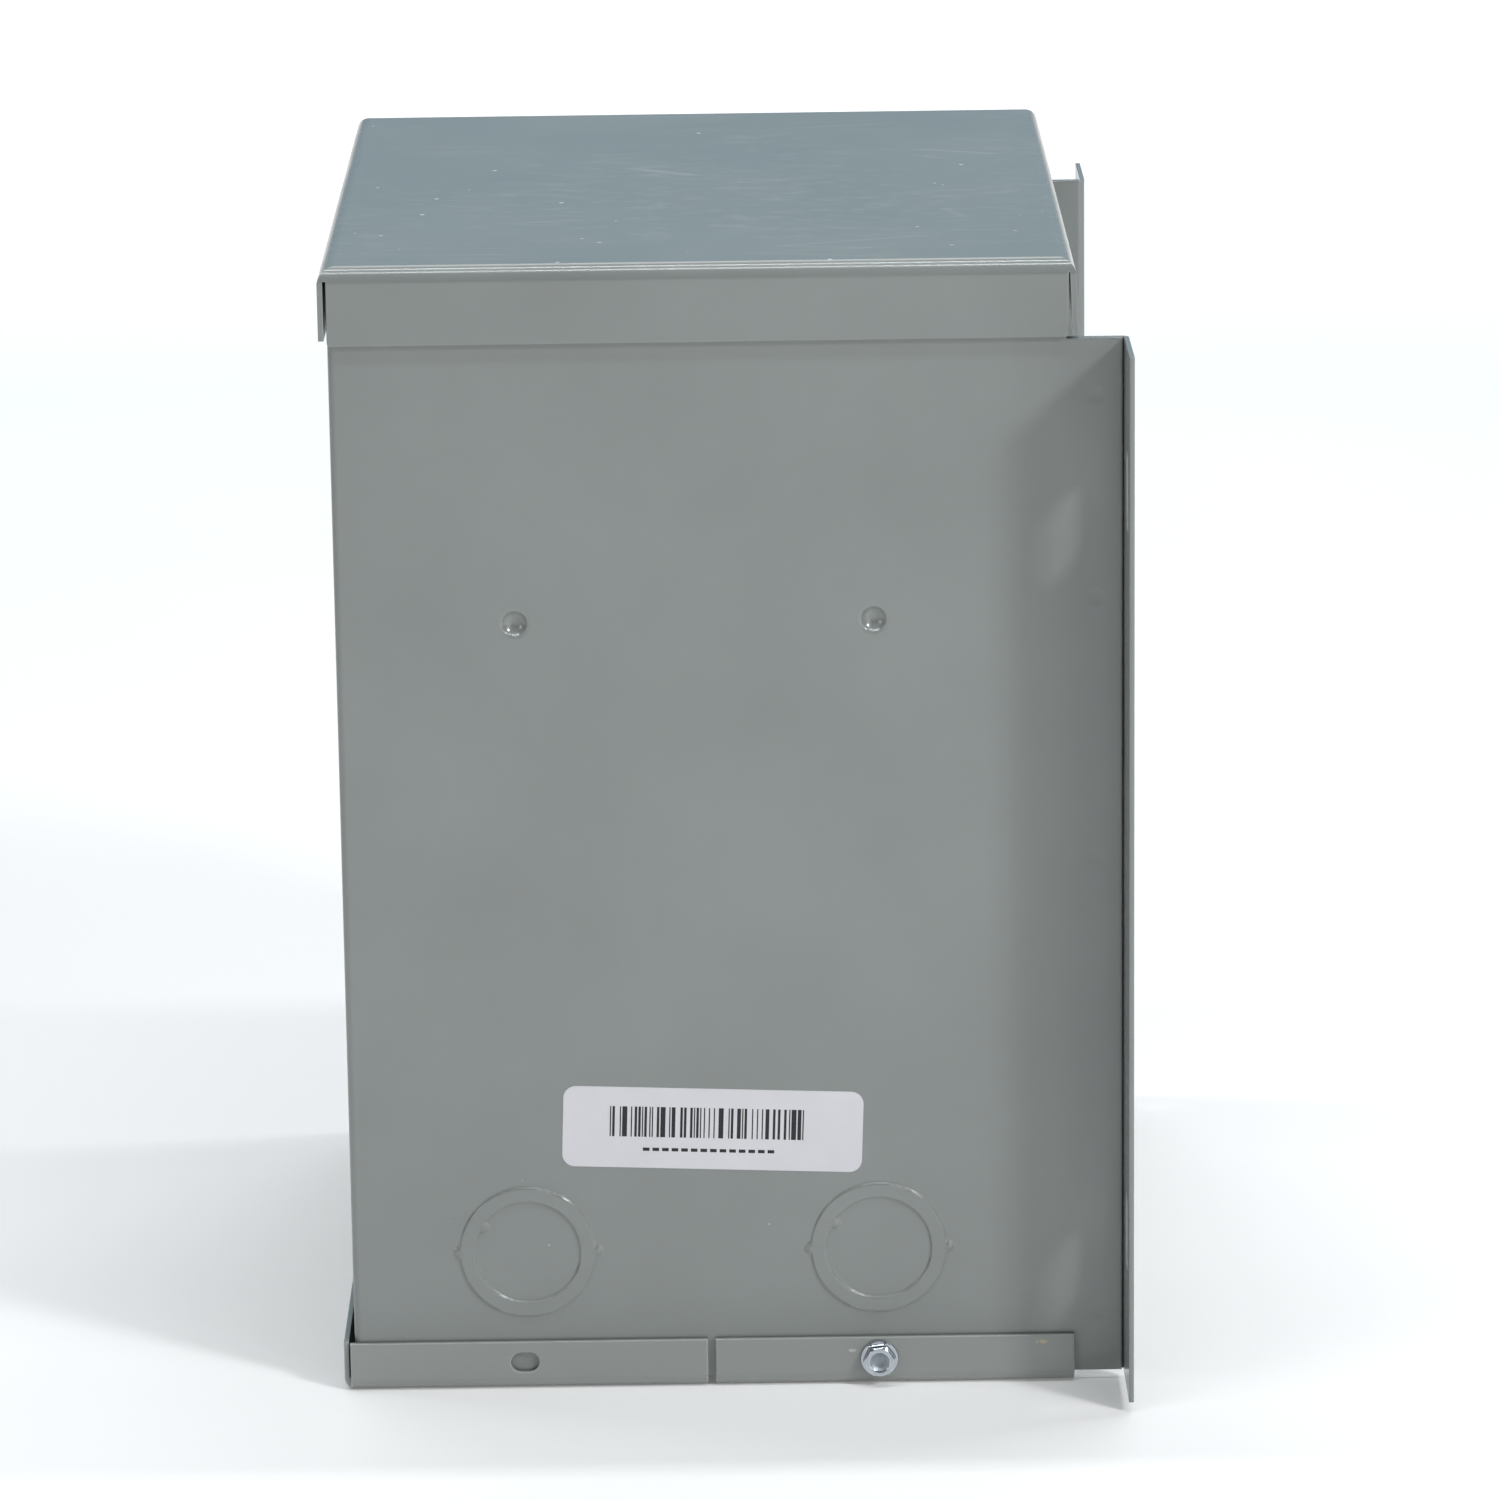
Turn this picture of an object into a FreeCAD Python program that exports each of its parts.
import FreeCAD, Part
import os
import Sketcher
from math import cos, pi, radians, sin

# A small encapsulated dry-type transformer in a wall-mounted steel enclosure.
# Frame: +Z up, the front faces -Y, the wall is on the +Y side, and the origin is the middle of the
# footprint on the surface that the bottom cover stands on. Depths are counted from the front panel.

V = FreeCAD.Vector
doc = FreeCAD.newDocument("encapsulated_transformer")

# ---------------------------------------------------------------- driving dimensions (mm)

DIMENSIONS = {
    # folded sheet steel, paint included
    "sheet": 1.05,
    "bend": 1.6,
    # shell: front and two sides
    "body_width": 187.6,
    "front_plane": -84.075,
    "panel_depth": 169.1,
    "shell_low": 2.3,
    "shell_high": 248.65,
    "shoulder": 234.3,
    "shoulder_depth": 157.1,
    # back panel, a hat section whose brims are the wall ears
    "web_depth": 157.0,
    "ear_depth": 170.5,
    "ear_reach": 21.5,
    "leg_gap": 0.05,
    "wall_slot_across": 12.0,
    "wall_slot_low": 38.3,
    "wall_slot_spacing": 165.1,
    "wall_slot_width": 7.1,
    "wall_slot_length": 17.5,
    # top lid
    "lid_sheet": 1.2,
    "lid_bend": 3.5,
    "lid_top": 251.6,
    "lid_low": 234.75,
    "overhang": 1.3,
    "lid_front": 1.77,
    "lid_rear": 159.15,
    "lid_rear_low": 159.75,
    "lid_front_edge": 236.0,
    "lid_rear_edge": 235.4,
    "lid_flange_start": 0.05,
    "lid_flange_end": 157.68,
    "lid_relief": 248.85,
    "corner_round": 0.8,
    "edge_round": 0.3,
    # bottom cover, a tray that is open behind
    "tray_high": 11.05,
    "tray_front": 2.35,
    "tray_end": 158.6,
    "tray_bend": 3.0,
    "tray_corner": 0.95,
    "slit_depth": 77.85,
    "slit_width": 1.65,
    "slit_notch": 10.0,
    "slit_flare": 1.2,
    "tray_slot_depth": 37.5,
    "tray_slot_length": 6.2,
    "tray_slot_width": 4.45,
    # knockouts in both sides
    "knockout_depth": 38.6,
    "knockout_spacing": 77.1,
    "knockout_height": 31.5,
    "knockout_outer": 14.95,
    "knockout_inner": 11.45,
    "knockout_rise": 0.5,
    "knockout_rim": 0.45,
    "knockout_tab": 1.6,
    "knockout_tab_rise": 0.6,
    # keying dimples and spot welds
    "dimple_height": 173.5,
    "dimple_radius": 2.9,
    "dimple_drop": 1.5,
    "dimple_lip": 0.6,
    "dimple_lip_drop": 0.25,
    "weld_depth": 163.3,
    "weld_radius": 2.15,
    "weld_drop": 0.14,
    # cover and ground screws
    "screw_depth": 115.6,
    "screw_height": 6.25,
    "screw_radius": 2.08,
    "screw_length": 9.5,
    "screw_head": 6.35,
    "screw_washer": 4.2,
    "ground_radius": 2.38,
    "ground_length": 9.5,
    "ground_head": 7.94,
    "ground_washer": 5.2,
    "ground_across": 62.0,
    "ground_height": 30.0,
    "thread_gap": 0.05,
    "collar_wall": 1.1,
    "collar_reach": 1.5,
    "washer_round": 0.3,
    # labels
    "label_thick": 0.12,
    "barcode_length": 65.6,
    "barcode_height": 18.4,
    "barcode_depth": 79.6,
    "barcode_rise": 59.2,
    "barcode_corner": 2.8,
    "rating_length": 101.6,
    "rating_height": 63.5,
    "rating_rise": 150.0,
    # core: E and I laminations, whose plane is XZ
    "tongue": 50.8,
    "stack": 64.0,
    "core_low": 92.0,
    "core_depth": 78.5,
    "core_bolt": 3.0,
    "bolt_gap": 0.2,
    "bolt_hexagon": 10.05,
    "bolt_head": 4.0,
    "bolt_end": 7.0,
    "nut_high": 5.0,
    "core_joint": 0.05,
    # coil
    "former_gap": 0.3,
    "former_wall": 1.5,
    "former_corner": 0.5,
    "former_flange_x": 49.9,
    "former_flange_y": 57.0,
    "winding_gap": 0.15,
    "primary_build": 9.0,
    "barrier_build": 1.0,
    "secondary_build": 9.0,
    "wrap_build": 0.8,
    # clamps
    "angle_thick": 3.0,
    "angle_height": 24.0,
    "angle_reach": 11.0,
    # cast block and the leads that leave it
    "resin_low": 62.0,
    "resin_gap": 0.2,
    "lead_radius": 1.8,
    "lead_gap": 0.1,
    "wire_radius": 1.1,
    "lead_offset": 51.5,
    "lead_turn": 12.0,
    "lead_height": 50.0,
    "lead_run": 78.0,
    "wire_length": 11.0,
}
WELD_HEIGHTS = (13.4, 65.8, 119.8, 177.7, 221.9)
BARCODE_TILT = 2.1
TAB_ANGLE = 150

sheet = doc.addObject("Spreadsheet::Sheet", "Dims")
for row, (alias, value) in enumerate(DIMENSIONS.items(), start=1):
    sheet.set(f"A{row}", alias)
    sheet.set(f"B{row}", str(value))
    sheet.setAlias(f"B{row}", alias)
doc.recompute()

SHEET = "Dims.sheet"
FRONT = "Dims.front_plane"
HALF = "Dims.body_width / 2"
OUTER = f"({HALF} + Dims.overhang)"
PAST = 3


def size(alias):
    """The value of one cell."""
    return float(getattr(sheet, alias))


# ---------------------------------------------------------------- making features


def bind(obj, sizes):
    """Binds each named size of an object to an expression of the sheet."""
    for name, expression in sizes.items():
        obj.setExpression(name, str(expression))
    return obj


def place(obj, at, turn=(0, 0, 1, 0)):
    """Turns an object (axis and degrees) and binds its place to the sheet."""
    obj.Placement = FreeCAD.Placement(V(0, 0, 0), FreeCAD.Rotation(V(*turn[:3]), turn[3]))
    return bind(obj, {f"Placement.Base.{axis}": at[k] for k, axis in enumerate("xyz")})


def block(name, low, high):
    """A block between two opposite corners."""
    box = doc.addObject("Part::Box", name)
    for k, side in enumerate(("Length", "Width", "Height")):
        box.setExpression(side, f"({high[k]}) - ({low[k]})")
    return place(box, low)


TURNS = {"x": (0, 1, 0, 90), "y": (1, 0, 0, -90), "z": (0, 0, 1, 0)}


def rod(name, axis, at, radius, length):
    """A round bar that starts at a point and runs along an axis."""
    bar = doc.addObject("Part::Cylinder", name)
    bind(bar, {"Radius": radius, "Height": length})
    return place(bar, at, TURNS[axis])


def cross_rod(name, depth, height, radius, reach=PAST):
    """A round bar that runs across the enclosure and past both sides."""
    start = (f"-({HALF} + {reach})", f"{FRONT} + {depth}", height)
    return rod(name, "x", start, radius, f"2 * ({HALF} + {reach})")


def ball(name, at, radius):
    """A sphere."""
    sphere = doc.addObject("Part::Sphere", name)
    return place(bind(sphere, {"Radius": radius}), at)


def fuse(name, pieces):
    """Several solids joined into one."""
    joined = doc.addObject("Part::MultiFuse", name)
    joined.Shapes = pieces
    joined.Refine = True
    return joined


def cut(name, base, tools):
    """A solid with other solids taken away."""
    left = doc.addObject("Part::Cut", name)
    left.Base = base
    left.Tool = tools[0] if len(tools) == 1 else fuse(name + "_tools", tools)
    left.Refine = True
    return left


def common(name, first, second):
    """What two solids share."""
    shared = doc.addObject("Part::Common", name)
    shared.Base = first
    shared.Tool = second
    return shared


def edges_of(feature, test):
    """The numbers of a feature's edges that pass a test."""
    doc.recompute()
    return [number for number, edge in enumerate(feature.Shape.Edges, start=1) if test(edge)]


def rounded(name, base, radius, test):
    """A solid with the edges that pass a test rounded."""
    fillet = doc.addObject("Part::Fillet", name)
    fillet.Base = base
    fillet.Edges = [(number, radius, radius) for number in edges_of(base, test)]
    return fillet


def vertical(edge):
    """Whether an edge is a straight line along Z."""
    first, last = edge.Vertexes[0].Point, edge.Vertexes[-1].Point
    level = abs(first.x - last.x) + abs(first.y - last.y)
    return level < 1e-6 and abs(first.z - last.z) > 1e-6


def rounded_block(name, low, high, radius):
    """A block with its four upright edges rounded."""
    return rounded(name, block(name + "_block", low, high), radius, vertical)


def new_body(name):
    """An empty body for sketched features."""
    return doc.addObject("PartDesign::Body", name)


def sketch(body, name, role, corners, offset="0"):
    """A closed outline on one of the body's own planes, each corner a pair of expressions."""
    outline = body.newObject("Sketcher::SketchObject", name)
    plane = next(item for item in body.Origin.OriginFeatures if item.Role == role)
    outline.AttachmentSupport = (plane, [""])
    outline.MapMode = "FlatFace"
    outline.setExpression("AttachmentOffset.Base.z", offset)
    count = len(corners)
    around = [V(100 * cos(2 * pi * k / count), 100 * sin(2 * pi * k / count), 0) for k in range(count)]
    for k in range(count):
        outline.addGeometry(Part.LineSegment(around[k], around[(k + 1) % count]))
    for k in range(count):
        outline.addConstraint(Sketcher.Constraint("Coincident", k, 2, (k + 1) % count, 1))
    for k, corner in enumerate(corners):
        for kind, start, expression in zip(("DistanceX", "DistanceY"), around[k], corner):
            number = outline.addConstraint(Sketcher.Constraint(kind, -1, 1, k, 1, start))
            outline.setExpression(f"Constraints[{number}]", expression)
    return outline


def pad(body, outline, length, both_ways=False, reverse=False):
    """Adds a sketch's area, swept over a length."""
    added = body.newObject("PartDesign::Pad", outline.Name + "_pad")
    added.Profile = outline
    added.SideType = "Symmetric" if both_ways else "One side"
    added.Reversed = reverse
    added.setExpression("Length", length)
    return added


def pocket(body, outline, length, both_ways=False, reverse=False):
    """Takes away a sketch's area, swept over a length, and makes sure that it cut."""
    doc.recompute()
    before = body.Shape.Volume
    taken = body.newObject("PartDesign::Pocket", outline.Name + "_pocket")
    taken.Profile = outline
    taken.SideType = "Symmetric" if both_ways else "One side"
    taken.Reversed = reverse
    taken.setExpression("Length", length)
    doc.recompute()
    if body.Shape.Volume >= before:
        raise ValueError(taken.Name + " cuts nothing")
    return taken


def round_edges(body, name, feature, radius, test):
    """Rounds the edges of a body's feature that pass a test."""
    fillet = body.newObject("PartDesign::Fillet", name)
    fillet.Base = (feature, [f"Edge{number}" for number in edges_of(feature, test)])
    fillet.setExpression("Radius", radius)
    doc.recompute()
    return fillet


def upright_at(places):
    """A test for upright edges that stand at any of the given points of the plan."""

    def test(edge):
        spot = edge.Vertexes[0].Point
        return vertical(edge) and any(abs(spot.x - x) + abs(spot.y - y) < 0.01 for x, y in places)

    return test


def level_at(height):
    """A test for edges that lie wholly at one height."""
    return lambda edge: all(abs(vertex.Z - height) < 0.01 for vertex in edge.Vertexes)


def across_at(reach):
    """A test for edges that lie wholly at one distance to either side of the middle."""
    return lambda edge: all(abs(abs(vertex.X) - reach) < 0.01 for vertex in edge.Vertexes)


def slot(name, axis, along, middle, length, width, through):
    """An oblong cutter: it goes through along one axis and is long along another."""
    run, far = "xyz".index(axis), "xyz".index(along)
    wide = 3 - run - far
    half = {run: f"({through}) / 2", far: f"({length} - {width}) / 2", wide: f"{width} / 2"}
    low = [f"{middle[k]} - {half[k]}" for k in range(3)]
    high = [f"{middle[k]} + {half[k]}" for k in range(3)]
    parts = [block(name + "_middle", low, high)]
    for tag, end in (("low", low), ("high", high)):
        start = list(middle)
        start[run], start[far] = low[run], end[far]
        parts.append(rod(f"{name}_{tag}", axis, start, f"{width} / 2", through))
    return fuse(name, parts)


sub_parts = []


def sub_part(name, feature):
    """Names a finished sub-part."""
    feature.Label = name
    sub_parts.append(feature)
    return feature


# ---------------------------------------------------------------- shell: front and two sides

BEND_IN = "(Dims.bend - Dims.sheet)"
INNER = f"({HALF} - Dims.sheet)"
SIDES = (("right", 1), ("left", -1))
KNOCKOUTS = (
    ("front", "Dims.knockout_depth"),
    ("rear", "Dims.knockout_depth + Dims.knockout_spacing"),
)


def depth(expression):
    """A place counted back from the front panel."""
    return f"({FRONT} + {expression})"


def ring(name, at_depth, outer, inner, reach):
    """A round tube that runs across the enclosure through both sides."""
    height = "Dims.knockout_height"
    skin = cross_rod(name + "_skin", at_depth, height, outer, reach)
    hollow = cross_rod(name + "_hollow", at_depth, height, inner, PAST)
    return cut(name, skin, [hollow])


def knockout_ring(tag, at_depth):
    """A knockout's ring, half sheared out of the panel, and the swellings over its tie tabs."""
    outer, inner = "Dims.knockout_outer", "Dims.knockout_inner"
    band = ring(f"knockout_{tag}_band", at_depth, outer, inner, "Dims.knockout_rise")
    top = size("body_width") / 2 + size("knockout_rise")
    pieces = [rounded(f"knockout_{tag}_rolled", band, size("knockout_rim"), across_at(top))]
    tabs = (("near", outer, 0), ("far", outer, 180), ("inner", inner, TAB_ANGLE))
    for tab, radius, angle in tabs:
        turn = radians(angle)
        spot = (
            f"{at_depth} + {radius} * {cos(turn)}",
            f"(Dims.knockout_height + {radius} * {sin(turn)})",
            "Dims.knockout_tab",
            "Dims.knockout_tab_rise",
        )
        for side, sign in SIDES:
            pieces.append(nub(f"knockout_{tag}_{tab}_{side}", sign, *spot))
    return pieces


def nub(name, side, at_depth, height, radius, rise):
    """A ball whose cap, radius wide and rise high, stands proud of a side panel."""
    whole = f"(({radius}) ^ 2 + ({rise}) ^ 2) / (2 * ({rise}))"
    return ball(name, (f"{side} * ({HALF} + ({rise}) - {whole})", depth(at_depth), height), whole)


def dish(name, side, at_depth, height, radius, drop, thick="0"):
    """A ball whose cap, radius wide and drop deep, presses into a side panel from outside."""
    whole = f"(({radius}) ^ 2 + ({drop}) ^ 2) / (2 * ({drop}))"
    across = f"{side} * ({HALF} - ({drop}) + {whole})"
    return ball(name, (across, depth(at_depth), height), f"{whole} + {thick}")


def make_shell():
    """One sheet folded round the front corners, with its knockouts, dimples and screw collars."""
    body = new_body("shell_sheet")
    corners = [
        (f"-{HALF}", depth("Dims.panel_depth")),
        (f"-{HALF}", FRONT),
        (HALF, FRONT),
        (HALF, depth("Dims.panel_depth")),
        (INNER, depth("Dims.panel_depth")),
        (INNER, depth("Dims.sheet")),
        (f"-{INNER}", depth("Dims.sheet")),
        (f"-{INNER}", depth("Dims.panel_depth")),
    ]
    plan = sketch(body, "shell_plan", "XY_Plane", corners, "Dims.shell_low")
    wrap = pad(body, plan, "Dims.shell_high - Dims.shell_low")
    half, front, thick = size("body_width") / 2, size("front_plane"), size("sheet")
    outside = upright_at([(half, front), (-half, front)])
    bent = round_edges(body, "shell_bends", wrap, "Dims.bend", outside)
    inside = upright_at([(half - thick, front + thick), (thick - half, front + thick)])
    round_edges(body, "shell_inner_bends", bent, BEND_IN, inside)
    step = [
        (depth("Dims.shoulder_depth"), "Dims.shoulder"),
        (depth(f"Dims.panel_depth + {PAST}"), "Dims.shoulder"),
        (depth(f"Dims.panel_depth + {PAST}"), f"Dims.shell_high + {PAST}"),
        (depth("Dims.shoulder_depth"), f"Dims.shell_high + {PAST}"),
    ]
    shoulder = sketch(body, "shell_shoulder", "YZ_Plane", step)
    pocket(body, shoulder, f"2 * ({HALF} + {PAST})", both_ways=True)

    core = block(
        "shell_core",
        (f"-({INNER} + Dims.knockout_rise)", depth("0"), "0"),
        (f"{INNER} + Dims.knockout_rise", depth("Dims.panel_depth"), "Dims.shell_high"),
    )
    raised = []
    hollows = []
    presses = []
    for tag, at_depth in KNOCKOUTS:
        hollows.append(
            ring(f"knockout_{tag}_cut", at_depth, "Dims.knockout_outer", "Dims.knockout_inner", PAST)
        )
        raised += knockout_ring(tag, at_depth)
    for tag, at_depth in KNOCKOUTS:
        for side, sign in SIDES:
            spot = (sign, at_depth, "Dims.dimple_height", "Dims.dimple_radius", "Dims.dimple_drop")
            hollows.append(dish(f"dimple_{tag}_{side}", *spot))
            hollows.append(
                dish(
                    f"dimple_lip_{tag}_{side}",
                    sign,
                    at_depth,
                    "Dims.dimple_height",
                    "(Dims.dimple_radius + Dims.dimple_lip)",
                    "Dims.dimple_lip_drop",
                )
            )
            presses.append(dish(f"bump_{tag}_{side}", *spot, thick="Dims.sheet"))
    for side, sign in SIDES:
        for number, height in enumerate(WELD_HEIGHTS, start=1):
            spot = (sign, "Dims.weld_depth", str(height), "Dims.weld_radius", "Dims.weld_drop")
            hollows.append(dish(f"weld_{number}_{side}", *spot))
    inside_room = block(
        "bump_room",
        (f"-({HALF} - Dims.sheet / 2)", depth("0"), "0"),
        (f"{HALF} - Dims.sheet / 2", depth("Dims.panel_depth"), "Dims.shell_high"),
    )
    bumps = common("bumps", fuse("bump_balls", presses), inside_room)
    wide = cross_rod(
        "collar_wide",
        "Dims.screw_depth",
        "Dims.screw_height",
        "Dims.screw_radius + Dims.thread_gap + Dims.collar_wall",
        f"-{SHEET} / 2",
    )
    collar_core = block(
        "collar_core",
        (f"-({INNER} - Dims.collar_reach)", depth("0"), f"-{PAST}"),
        (f"{INNER} - Dims.collar_reach", depth("Dims.panel_depth"), "Dims.shell_high"),
    )
    collars = cut("collars", wide, [collar_core])
    hollows.append(
        cross_rod(
            "screw_holes", "Dims.screw_depth", "Dims.screw_height", "Dims.screw_radius + Dims.thread_gap"
        )
    )
    sheet_with_bumps = fuse("shell_with_bumps", [body, bumps, collars])
    opened = cut("shell_opened", sheet_with_bumps, hollows)
    rings = cut("knockout_rings", fuse("knockout_bars", raised), [core])
    return sub_part("body_shell", fuse("shell_whole", [opened, rings]))


# ---------------------------------------------------------------- back panel with the wall ears

LEG = f"({INNER} - Dims.leg_gap)"


def make_back_panel():
    """A hat section: the recessed web, two legs spot-welded to the sides, and two slotted ears."""
    body = new_body("back_sheet")
    inside_leg = f"({LEG} - Dims.sheet)"
    tip = f"({HALF} + Dims.ear_reach)"
    web_front = depth("Dims.web_depth - Dims.sheet")
    web_rear = depth("Dims.web_depth")
    ear_front = depth("Dims.ear_depth - Dims.sheet")
    ear_rear = depth("Dims.ear_depth")
    half_plan = [
        (inside_leg, web_rear),
        (inside_leg, ear_rear),
        (tip, ear_rear),
        (tip, ear_front),
        (LEG, ear_front),
        (LEG, web_front),
    ]
    mirrored = [(f"-{x}", y) for x, y in reversed(half_plan)]
    hat = sketch(body, "back_plan", "XY_Plane", half_plan + mirrored, "Dims.shell_low")
    pad(body, hat, "Dims.shoulder - Dims.shell_low")
    rise = [(f"-{LEG}", web_front), (LEG, web_front), (LEG, web_rear), (f"-{LEG}", web_rear)]
    upper = sketch(body, "back_rise", "XY_Plane", rise, "Dims.shoulder")
    whole = pad(body, upper, "Dims.shell_high - Dims.shoulder")
    thick, front = size("sheet"), size("front_plane")
    leg = size("body_width") / 2 - thick - size("leg_gap")
    web, ear = front + size("web_depth"), front + size("ear_depth")
    outside = [(leg, web - thick), (-leg, web - thick), (leg - thick, ear), (thick - leg, ear)]
    bent = round_edges(body, "back_bends", whole, "Dims.bend", upright_at(outside))
    inside = [(leg - thick, web), (thick - leg, web), (leg, ear - thick), (-leg, ear - thick)]
    round_edges(body, "back_inner_bends", bent, BEND_IN, upright_at(inside))

    hollows = []
    for side, sign in SIDES:
        for level, raise_by in (("low", "0"), ("high", "Dims.wall_slot_spacing")):
            middle = (
                f"{sign} * ({HALF} + Dims.wall_slot_across)",
                depth("Dims.ear_depth"),
                f"(Dims.wall_slot_low + {raise_by})",
            )
            name = f"wall_slot_{side}_{level}"
            spans = ("Dims.wall_slot_length", "Dims.wall_slot_width", f"2 * {PAST}")
            hollows.append(slot(name, "y", "z", middle, *spans))
    hole = "Dims.ground_radius + Dims.thread_gap"
    across, height = "-Dims.ground_across", "Dims.ground_height"
    start = (across, depth(f"Dims.web_depth - {PAST}"), height)
    hollows.append(rod("ground_hole", "y", start, hole, f"2 * {PAST}"))
    collar_start = (across, depth("Dims.web_depth - Dims.sheet / 2"), height)
    collar_size = (f"{hole} + Dims.collar_wall", "Dims.collar_reach + Dims.sheet / 2")
    collar = rod("ground_collar", "y", collar_start, *collar_size)
    return sub_part("back_panel", cut("back_whole", fuse("back_with_collar", [body, collar]), hollows))


# ---------------------------------------------------------------- top lid and bottom cover


def side_cutter(name, sign, corners, reach):
    """A prism that cuts through one side flange, its outline in the YZ plane."""
    body = new_body(name)
    outline = sketch(body, name + "_outline", "YZ_Plane", corners, f"{sign} * ({OUTER} - {reach})")
    pad(body, outline, f"{reach} + {PAST}", reverse=sign < 0)
    return body


def span_on(sign, inner):
    """The lower and upper X of a span from an inner distance out past the flange of one side."""
    outer = f"({OUTER} + {PAST})"
    return (inner, outer) if sign > 0 else (f"-{outer}", f"-{inner}")


def outline_at_side(first, last, bend_line):
    """A test for the outline of the side flanges' outer faces between two depths, bend left out."""
    out, front = size("body_width") / 2 + size("overhang"), size("front_plane")

    def test(edge):
        points = [vertex.Point for vertex in edge.Vertexes]
        beside = all(abs(abs(p.x) - out) < 0.01 for p in points)
        between = all(first - 0.01 < p.y - front < last + 0.01 for p in points)
        return beside and between and not all(abs(p.z - bend_line) < 0.01 for p in points)

    return test


def make_lid():
    """A lid folded from one sheet: a flat top, four flanges, and corners open up to their relief."""
    body = new_body("lid_sheet")
    low, top, thick = "Dims.lid_low", "Dims.lid_top", "Dims.lid_sheet"
    front, front_in = depth("-Dims.lid_front"), depth(f"{thick} - Dims.lid_front")
    rear_low, rear_top = depth("Dims.lid_rear_low"), depth("Dims.lid_rear")
    profile = [(front, low), (rear_low, low), (rear_top, top), (front, top)]
    hood = pad(body, sketch(body, "lid_profile", "YZ_Plane", profile), f"2 * {OUTER}", both_ways=True)
    bent = round_edges(body, "lid_bends", hood, "Dims.lid_bend", level_at(size("lid_top")))
    rear_in_low, rear_in_top = f"({rear_low} - {thick})", f"({rear_top} - {thick})"
    inner_top = f"({top} - {thick})"
    hollow = [(front_in, low), (rear_in_low, low), (rear_in_top, inner_top), (front_in, inner_top)]
    room = sketch(body, "lid_hollow", "YZ_Plane", hollow)
    hollowed = pocket(body, room, f"2 * ({OUTER} - {thick})", both_ways=True)
    inner_level = level_at(size("lid_top") - size("lid_sheet"))
    round_edges(body, "lid_inner_bends", hollowed, f"(Dims.lid_bend - {thick})", inner_level)

    start, end = depth("Dims.lid_flange_start"), depth("Dims.lid_flange_end")
    relief = "Dims.lid_relief"
    gaps = {
        "front": [(front_in, low), (start, low), (start, relief), (front_in, relief)],
        "rear": [(end, low), (rear_in_low, low), (rear_in_top, relief), (end, relief)],
    }
    tools = []
    for tag, corners in gaps.items():
        for side, sign in SIDES:
            tools.append(side_cutter(f"lid_gap_{tag}_{side}", sign, corners, f"2 * {thick}"))
    across, under = f"({OUTER} + {PAST})", f"({low} - {PAST})"
    front_end, rear_end = depth(f"-Dims.lid_front - {PAST}"), depth(f"Dims.lid_rear_low + {PAST}")
    front_trim = ((f"-{across}", front_end, under), (across, start, "Dims.lid_front_edge"))
    rear_trim = ((f"-{across}", end, under), (across, rear_end, "Dims.lid_rear_edge"))
    tools += [block("lid_front_trim", *front_trim), block("lid_rear_trim", *rear_trim)]
    opened = cut("lid_opened", body, tools)
    flange_low = level_at(size("lid_low"))

    def lower_corner(edge):
        """Whether an edge is a lower corner of a side flange."""
        return along_x(edge) and flange_low(edge)

    corners = rounded("lid_corners", opened, size("corner_round"), lower_corner)
    first, last = size("lid_flange_start"), size("lid_flange_end")
    outline = outline_at_side(first, last, size("lid_top") - size("lid_bend"))
    return sub_part("top_lid", rounded("lid_edges", corners, size("edge_round"), outline))


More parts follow.
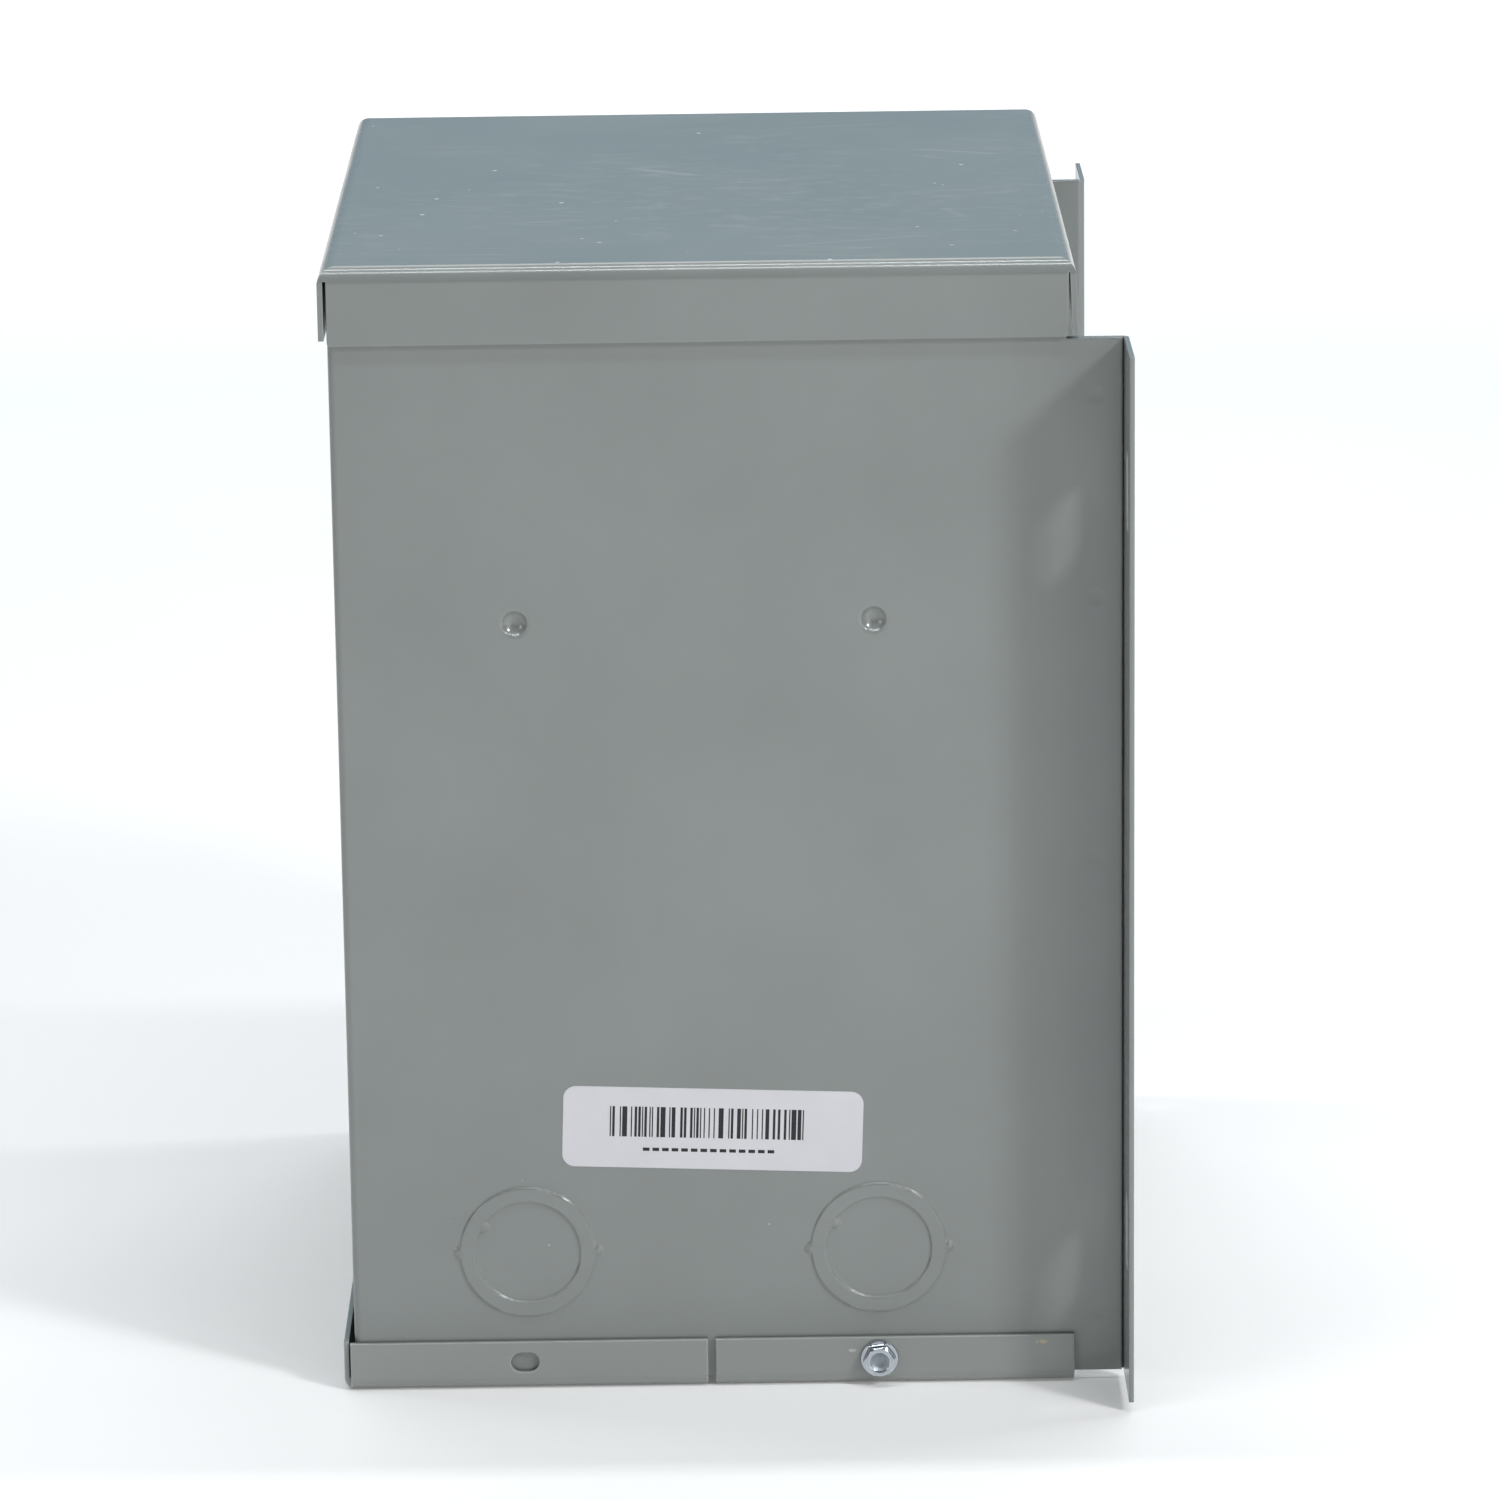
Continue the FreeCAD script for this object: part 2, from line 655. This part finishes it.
def make_bottom_cover():
    """A tray folded from one sheet, its side flanges split by a slit and slotted for screws."""
    body = new_body("tray_sheet")
    front, end = depth("-Dims.tray_front"), depth("Dims.tray_end")
    outline = [(f"-{OUTER}", front), (OUTER, front), (OUTER, end), (f"-{OUTER}", end)]
    tray = pad(body, sketch(body, "tray_plan", "XY_Plane", outline), "Dims.tray_high")
    end_line = size("front_plane") + size("tray_end")

    def folded_at(height):
        """A test for the front and side edges at one height."""
        level = level_at(height)
        return lambda edge: level(edge) and not all(abs(p.Y - end_line) < 0.01 for p in edge.Vertexes)

    round_edges(body, "tray_bends", tray, "Dims.tray_bend", folded_at(0))
    wall = f"({OUTER} - {SHEET})"
    front_in = depth("Dims.sheet - Dims.tray_front")
    past_end = depth(f"Dims.tray_end + {PAST}")
    hollow = [(f"-{wall}", front_in), (wall, front_in), (wall, past_end), (f"-{wall}", past_end)]
    room = sketch(body, "tray_hollow", "XY_Plane", hollow, SHEET)
    hollowed = pocket(body, room, "Dims.tray_high", reverse=True)
    inner_bend = "(Dims.tray_bend - Dims.sheet)"
    round_edges(body, "tray_inner_bends", hollowed, inner_bend, folded_at(size("sheet")))

    hollows = []
    top = f"(Dims.tray_high + {PAST})"
    slit_start, slit_end = depth("Dims.slit_depth"), depth("Dims.slit_depth + Dims.slit_width")
    slit_middle = depth("Dims.slit_depth + Dims.slit_width / 2")
    corner_start, corner_end = depth(f"-Dims.tray_front - {PAST}"), depth("-Dims.tray_corner")
    for side, sign in SIDES:
        inner, outer = span_on(sign, f"({OUTER} - Dims.slit_notch)")
        hollows.append(block(f"slit_{side}", (inner, slit_start, f"-{PAST}"), (outer, slit_end, top)))
        flare = ((inner, slit_middle, "0"), "Dims.slit_flare", f"Dims.slit_notch + {PAST}")
        hollows.append(rod(f"slit_flare_{side}", "x", *flare))
        inner, outer = span_on(sign, wall)
        notch = ((inner, corner_start, f"-{PAST}"), (outer, corner_end, top))
        hollows.append(block(f"corner_{side}", *notch))
    through = f"2 * ({OUTER} + {PAST})"
    for tag, at_depth in (("front", "Dims.tray_slot_depth"), ("rear", "Dims.screw_depth")):
        middle = ("0", depth(at_depth), "Dims.screw_height")
        spans = ("Dims.tray_slot_length", "Dims.tray_slot_width", through)
        hollows.append(slot(f"tray_slot_{tag}", "x", "y", middle, *spans))
    opened = cut("tray_opened", body, hollows)
    outline = outline_at_side(-size("tray_corner"), size("tray_end"), size("tray_bend"))
    return sub_part("bottom_cover", rounded("tray_edges", opened, size("edge_round"), outline))


# ---------------------------------------------------------------- screws

HEAD_HIGH = 3.2
WASHER_HIGH = 0.9
POINT = 1.2
POINT_TAPER = 0.6
CORNER_REACH = 1.1
DOME = 1.6
BOWL = 0.42
BOWL_DEPTH = 1.0


def make_screw(name, prefix, length, at, turn):
    """A hex washer-head screw, its head's underside at the given point and its shank behind it."""
    radius, across, washer = f"Dims.{prefix}_radius", f"Dims.{prefix}_head", f"Dims.{prefix}_washer"
    start = ("0", "0", f"{POINT} - Dims.{length}")
    shank = rod(name + "_shank", "z", start, radius, f"Dims.{length} - {POINT} + {WASHER_HIGH}")
    tip = doc.addObject("Part::Cone", name + "_tip")
    bind(tip, {"Radius1": f"{radius} * {POINT_TAPER}", "Radius2": radius, "Height": POINT})
    place(tip, ("0", "0", f"-Dims.{length}"))
    flange = rod(name + "_washer", "z", ("0", "0", "0"), washer, WASHER_HIGH)
    rounded_flange = rounded(name + "_flange", flange, size("washer_round"), level_at(WASHER_HIGH))
    hexagon = doc.addObject("Part::Prism", name + "_hexagon")
    hexagon.Polygon = 6
    bind(hexagon, {"Circumradius": f"{across} / sqrt(3)", "Height": HEAD_HIGH})
    dome = ball(name + "_dome", ("0", "0", f"{HEAD_HIGH} - {DOME} * {across}"), f"{DOME} * {across}")
    corners = rod(name + "_corners", "z", ("0", "0", "0"), f"{across} / 2 * {CORNER_REACH}", HEAD_HIGH)
    head = common(name + "_head", common(name + "_domed", hexagon, dome), corners)
    bowl_middle = ("0", "0", f"{HEAD_HIGH} - {BOWL_DEPTH} + {across} * {BOWL}")
    bowl = ball(name + "_bowl", bowl_middle, f"{across} * {BOWL}")
    solid = fuse(name + "_solid", [shank, tip, rounded_flange, head])
    return sub_part(name, place(cut(name + "_whole", solid, [bowl]), at, turn))


def make_screws():
    """The two cover screws, heads outside on each side flange, and the ground screw inside."""
    for side, sign in SIDES:
        at = (f"{sign} * {OUTER}", depth("Dims.screw_depth"), "Dims.screw_height")
        make_screw(f"cover_screw_{side}", "screw", "screw_length", at, (0, 1, 0, sign * 90))
    at = ("-Dims.ground_across", depth("Dims.web_depth - Dims.sheet"), "Dims.ground_height")
    make_screw("ground_screw", "ground", "ground_length", at, (1, 0, 0, 90))


# ---------------------------------------------------------------- labels


def make_labels():
    """A bar-code sticker on the right side and a blank rating plate on the front."""
    low = ("0", "-Dims.barcode_length / 2", "-Dims.barcode_height / 2")
    high = ("Dims.label_thick", "Dims.barcode_length / 2", "Dims.barcode_height / 2")
    sticker = rounded("barcode_round", block("barcode_block", low, high), size("barcode_corner"), along_x)
    at = (HALF, depth("Dims.barcode_depth"), "Dims.barcode_rise")
    sub_part("barcode_label", place(sticker, at, (1, 0, 0, -BARCODE_TILT)))
    low = ("-Dims.rating_length / 2", "-Dims.label_thick", "-Dims.rating_height / 2")
    high = ("Dims.rating_length / 2", "0", "Dims.rating_height / 2")
    plate = rounded("rating_round", block("rating_block", low, high), size("barcode_corner"), along_y)
    sub_part("rating_label", place(plate, ("0", FRONT, "Dims.rating_rise")))


def along_x(edge):
    """Whether an edge is a straight line along X."""
    first, last = edge.Vertexes[0].Point, edge.Vertexes[-1].Point
    return abs(first.x - last.x) > 1e-6 and abs(first.y - last.y) + abs(first.z - last.z) < 1e-6


def along_y(edge):
    """Whether an edge is a straight line along Y."""
    first, last = edge.Vertexes[0].Point, edge.Vertexes[-1].Point
    return abs(first.y - last.y) > 1e-6 and abs(first.x - last.x) + abs(first.z - last.z) < 1e-6


# ---------------------------------------------------------------- core

CORE_MIDDLE = depth("Dims.core_depth")
CORE_HALF = "(1.5 * Dims.tongue)"
CORE_HIGH = "(Dims.core_low + 2.5 * Dims.tongue)"
SEAM = "(Dims.core_low + Dims.tongue / 2)"
STACK_FRONT = f"({CORE_MIDDLE} - Dims.stack / 2)"
STACK_REAR = f"({CORE_MIDDLE} + Dims.stack / 2)"
BOLT_ACROSS = "(1.25 * Dims.tongue)"
BOLT_LEVELS = {
    "lower": "(Dims.core_low + Dims.tongue / 4)",
    "upper": "(Dims.core_low + 2.25 * Dims.tongue)",
}
BORE = "Dims.core_bolt + Dims.bolt_gap"


def bolt_rods(name, levels, radius, start, length):
    """Bars along Y at the core's corner bolts, on the given levels."""
    rods = []
    for level in levels:
        for side, sign in SIDES:
            at = (f"{sign} * {BOLT_ACROSS}", start, BOLT_LEVELS[level])
            rods.append(rod(f"{name}_{level}_{side}", "y", at, radius, length))
    return rods


def make_core():
    """The stacks of E and I laminations, which meet below the coil."""
    through = (BORE, f"{STACK_FRONT} - {PAST}", f"Dims.stack + 2 * {PAST}")
    e_low = (f"-{CORE_HALF}", STACK_FRONT, f"{SEAM} + Dims.core_joint")
    e_block = block("e_block", e_low, (CORE_HALF, STACK_REAR, CORE_HIGH))
    windows = []
    for side, sign in SIDES:
        inner, outer = ("Dims.tongue / 2", "Dims.tongue")
        low_x, high_x = (inner, outer) if sign > 0 else (f"-{outer}", f"-{inner}")
        low = (low_x, f"{STACK_FRONT} - {PAST}", f"{SEAM} - {PAST}")
        high = (high_x, f"{STACK_REAR} + {PAST}", f"{SEAM} + 1.5 * Dims.tongue")
        windows.append(block(f"window_{side}", low, high))
    holes = bolt_rods("e_hole", ["upper"], *through)
    sub_part("core_e_stack", cut("e_whole", e_block, windows + holes))
    i_low = (f"-{CORE_HALF}", STACK_FRONT, "Dims.core_low")
    i_block = block("i_block", i_low, (CORE_HALF, STACK_REAR, SEAM))
    sub_part("core_i_stack", cut("i_whole", i_block, bolt_rods("i_hole", ["lower"], *through)))


def make_clamps():
    """Four angles that squeeze the laminations, and the bolts and nuts that pull them together."""
    for level, edge, into in (("upper", CORE_HIGH, -1), ("lower", "Dims.core_low", 1)):
        for face, start, out in (("front", STACK_FRONT, -1), ("rear", STACK_REAR, 1)):
            name = f"clamp_angle_{level}_{face}"
            reach = "Dims.angle_reach + Dims.angle_thick"
            web = slab(name + "_web", start, out, "Dims.angle_thick", edge, into, "Dims.angle_height")
            lip = slab(name + "_lip", start, out, reach, edge, into, "Dims.angle_thick")
            bore = (BORE, f"{start} - 2 * Dims.angle_thick", "4 * Dims.angle_thick")
            holes = bolt_rods(name + "_hole", [level], *bore)
            sub_part(name, cut(name + "_whole", fuse(name + "_angle", [web, lip]), holes))
    grip = "Dims.stack + 2 * Dims.angle_thick"
    start = f"({STACK_FRONT} - Dims.angle_thick)"
    levels = ["lower", "upper"]
    shanks = bolt_rods("bolt_shank", levels, "Dims.core_bolt", start, f"{grip} + Dims.bolt_end")
    heads = hexagons("bolt_head", levels, f"{start} - Dims.bolt_head", "Dims.bolt_head")
    pairs = enumerate(zip(shanks, heads), start=1)
    bolts = [fuse(f"bolt_{number}", [shank, head]) for number, (shank, head) in pairs]
    sub_part("core_bolts", compound("bolt_set", bolts))
    rims = hexagons("nut", levels, f"{STACK_REAR} + Dims.angle_thick", "Dims.nut_high")
    bore = ("Dims.core_bolt + Dims.thread_gap", STACK_REAR, "Dims.angle_thick + 2 * Dims.nut_high")
    pairs = enumerate(zip(rims, bolt_rods("nut_bore", levels, *bore)), start=1)
    nuts = [cut(f"nut_{number}_bored", rim, [hole]) for number, (rim, hole) in pairs]
    sub_part("core_nuts", compound("nut_set", nuts))


def slab(name, start, out, thick, edge, into, tall):
    """A slab as wide as the core that stands out from a face of the stack and in from an edge."""
    y = (start, f"({start} + {thick})") if out > 0 else (f"({start} - ({thick}))", start)
    z = (edge, f"({edge} + {tall})") if into > 0 else (f"({edge} - {tall})", edge)
    return block(name, (f"-{CORE_HALF}", y[0], z[0]), (CORE_HALF, y[1], z[1]))


def hexagons(name, levels, start, thick):
    """Hexagonal bars along Y at the core's corner bolts."""
    bars = []
    for level in levels:
        for side, sign in SIDES:
            bar = doc.addObject("Part::Prism", f"{name}_{level}_{side}")
            bar.Polygon = 6
            bind(bar, {"Circumradius": "Dims.bolt_hexagon / sqrt(3)", "Height": thick})
            bars.append(place(bar, (f"{sign} * {BOLT_ACROSS}", start, BOLT_LEVELS[level]), TURNS["y"]))
    return bars


def compound(name, pieces):
    """Separate solids kept as one group."""
    group = doc.addObject("Part::Compound", name)
    group.Links = pieces
    return group


# ---------------------------------------------------------------- coil

TONGUE_X = "(Dims.tongue / 2 + Dims.former_gap)"
TONGUE_Y = "(Dims.stack / 2 + Dims.former_gap)"
COIL_LOW = f"({SEAM} + Dims.former_gap)"
COIL_HIGH = f"({SEAM} + 1.5 * Dims.tongue - Dims.former_gap)"
LAYERS = (
    ("primary_winding", "Dims.primary_build"),
    ("winding_barrier", "Dims.barrier_build"),
    ("secondary_winding", "Dims.secondary_build"),
    ("coil_wrap", "Dims.wrap_build"),
)


def loop(name, inner, outer, low, high):
    """A closed band round the tongue, its inner and outer faces this far outside the tongue's gap."""
    solids = []
    for tag, grow, drop in (("outer", outer, 0), ("inner", inner, PAST)):
        corner = (f"({TONGUE_X} + {grow[0]})", f"({TONGUE_Y} + {grow[0]})")
        low_corner = (f"-{corner[0]}", f"{CORE_MIDDLE} - {corner[1]}", f"{low} - {drop}")
        high_corner = (corner[0], f"{CORE_MIDDLE} + {corner[1]}", f"{high} + {drop}")
        solids.append(rounded_block(f"{name}_{tag}", low_corner, high_corner, grow[1]))
    return cut(name + "_loop", solids[0], [solids[1]])


def make_coil():
    """The former, and round it the two windings with the insulation between and over them."""
    wall, corner = size("former_wall"), size("former_corner")
    front, rear = f"{CORE_MIDDLE} - Dims.former_flange_y", f"{CORE_MIDDLE} + Dims.former_flange_y"
    tube_x, tube_y = f"({TONGUE_X} + Dims.former_wall)", f"({TONGUE_Y} + Dims.former_wall)"
    tube_low = (f"-{tube_x}", f"{CORE_MIDDLE} - {tube_y}", COIL_LOW)
    tube_high = (tube_x, f"{CORE_MIDDLE} + {tube_y}", COIL_HIGH)
    tube = rounded_block("former_tube", tube_low, tube_high, corner)
    across = "Dims.former_flange_x"
    under_high = (across, rear, f"{COIL_LOW} + Dims.former_wall")
    under = block("former_under", (f"-{across}", front, COIL_LOW), under_high)
    over_low = (f"-{across}", front, f"{COIL_HIGH} - Dims.former_wall")
    over = block("former_over", over_low, (across, rear, COIL_HIGH))
    room = block(
        "former_room",
        (f"-{TONGUE_X}", f"{CORE_MIDDLE} - {TONGUE_Y}", f"{COIL_LOW} - {PAST}"),
        (TONGUE_X, f"{CORE_MIDDLE} + {TONGUE_Y}", f"{COIL_HIGH} + {PAST}"),
    )
    sub_part("coil_former", cut("former_whole", fuse("former_solid", [tube, under, over]), [room]))
    low = f"({COIL_LOW} + Dims.former_wall + Dims.winding_gap)"
    high = f"({COIL_HIGH} - Dims.former_wall - Dims.winding_gap)"
    reached, reached_size = "Dims.former_wall", wall
    for name, build in LAYERS:
        inner = f"{reached} + Dims.winding_gap"
        outer = f"{inner} + {build}"
        inner_size = reached_size + size("winding_gap")
        outer_size = inner_size + size(build.removeprefix("Dims."))
        inner_round, outer_round = corner + inner_size - wall, corner + outer_size - wall
        sub_part(name, loop(name, (inner, inner_round), (outer, outer_round), low, high))
        reached, reached_size = outer, outer_size


# ---------------------------------------------------------------- leads

LEADS = (
    ("lead_h1", -24, -1),
    ("lead_h2", 24, -1),
    ("lead_x1", -36, 1),
    ("lead_x2", -12, 1),
    ("lead_x3", 12, 1),
    ("lead_x4", 36, 1),
)


def lead_path(across, face):
    """A lead's centre line: down out of the coil, round one arc and level towards the far side."""
    middle = size("front_plane") + size("core_depth")
    start_y = middle + face * size("lead_offset")
    top = size("core_low") + size("tongue") / 2 + size("former_gap") - size("lead_gap")
    turn, level = size("lead_turn"), size("lead_height")
    bend_start = V(across, start_y, level + turn)
    bend_middle = V(across, start_y - face * turn * (1 - cos(pi / 4)), level + turn * (1 - sin(pi / 4)))
    bend_end = V(across, start_y - face * turn, level)
    end = V(across, start_y - face * (turn + size("lead_run")), level)
    drop = Part.LineSegment(V(across, start_y, top), bend_start)
    arc = Part.Arc(bend_start, bend_middle, bend_end)
    run = Part.LineSegment(bend_end, end)
    return Part.Wire([drop.toShape(), arc.toShape(), run.toShape()])


def make_leads():
    """Six insulated leads, each one tube from the coil to its cut end, and their bare wire ends."""
    ends = []
    for name, across, face in LEADS:
        path = lead_path(across, face)
        outline = Part.Circle(path.Vertexes[0].Point, V(0, 0, 1), size("lead_radius"))
        tube = path.makePipeShell([Part.Wire(outline.toShape())], True, False)
        expected = pi * size("lead_radius") ** 2 * path.Length
        if abs(tube.Volume / expected - 1) > 0.01:
            raise ValueError(f"{name} has volume {tube.Volume}, not {expected}")
        lead = doc.addObject("Part::Feature", name + "_tube")
        lead.Shape = tube
        sub_part(name, lead)
        cut_end = f"({CORE_MIDDLE} + {face} * (Dims.lead_offset - Dims.lead_turn - Dims.lead_run))"
        start = cut_end if face < 0 else f"({cut_end} - Dims.wire_length)"
        at = (str(across), start, "Dims.lead_height")
        ends.append(rod(name + "_wire", "y", at, "Dims.wire_radius", "Dims.wire_length"))
    sub_part("lead_conductors", compound("wire_ends", ends))


# ---------------------------------------------------------------- cast block


def room_round(name, low, high):
    """A block grown on all sides by the casting's gap."""
    gap = "Dims.resin_gap"
    return block(name, [f"{at} - {gap}" for at in low], [f"{at} + {gap}" for at in high])


def make_resin():
    """Sand-filled resin cast round the core and coil, level with the shell and open below."""
    gap = "Dims.resin_gap"
    edge = f"({INNER} - {gap})"
    front, rear = depth(f"Dims.sheet + {gap}"), depth(f"Dims.web_depth - Dims.sheet - {gap}")
    low, high = (f"-{edge}", front, "Dims.resin_low"), (edge, rear, "Dims.shell_high")
    cast = rounded_block("resin_block", low, high, size("bend"))
    core = ((f"-{CORE_HALF}", STACK_FRONT, "Dims.core_low"), (CORE_HALF, STACK_REAR, CORE_HIGH))
    flange_x, flange_y = "Dims.former_flange_x", "Dims.former_flange_y"
    coil = (
        (f"-{flange_x}", f"{CORE_MIDDLE} - {flange_y}", COIL_LOW),
        (flange_x, f"{CORE_MIDDLE} + {flange_y}", COIL_HIGH),
    )
    hollows = [room_round("core_room", *core), room_round("coil_room", *coil)]
    reach = "(Dims.angle_reach + Dims.angle_thick)"
    for level, low, high in (
        ("upper", f"{CORE_HIGH} - Dims.angle_height", CORE_HIGH),
        ("lower", "Dims.core_low", "Dims.core_low + Dims.angle_height"),
    ):
        clamps = (
            (f"-{CORE_HALF}", f"{STACK_FRONT} - {reach}", low),
            (CORE_HALF, f"{STACK_REAR} + {reach}", high),
        )
        hollows.append(room_round(f"clamp_room_{level}", *clamps))
    for name, across, face in LEADS:
        start = f"(Dims.resin_low - {PAST})"
        at = (str(across), f"{CORE_MIDDLE} + {face} * Dims.lead_offset", start)
        bore = (f"Dims.lead_radius + {gap}", f"{COIL_LOW} - {start}")
        hollows.append(rod(name + "_bore", "z", at, *bore))
    for tag, at_depth in KNOCKOUTS:
        for side, sign in SIDES:
            spot = (sign, at_depth, "Dims.dimple_height", "Dims.dimple_radius", "Dims.dimple_drop")
            hollows.append(dish(f"key_{tag}_{side}", *spot, thick=f"Dims.sheet + {gap}"))
    return sub_part("potting_compound", cut("resin_whole", cast, hollows))


# ---------------------------------------------------------------- assembly

make_shell()
make_back_panel()
make_lid()
make_bottom_cover()
make_screws()
make_labels()
make_core()
make_clamps()
make_coil()
make_leads()
make_resin()
doc.recompute()

for item in doc.Objects:
    if "Invalid" in item.State or "Error" in item.State:
        raise ValueError(f"{item.Name} failed: {item.State}")
for item in sub_parts:
    if item.Shape.isNull() or not item.Shape.isValid() or not item.Shape.Solids:
        raise ValueError(item.Label + " has no valid shape")

os.makedirs("parts", exist_ok=True)
for item in sub_parts:
    item.Shape.exportStep(os.path.join("parts", item.Label + ".step"))
    box = item.Shape.BoundBox
    print(f"{item.Label}: {len(item.Shape.Solids)} solids, {item.Shape.Volume:.0f} mm3, {box}")
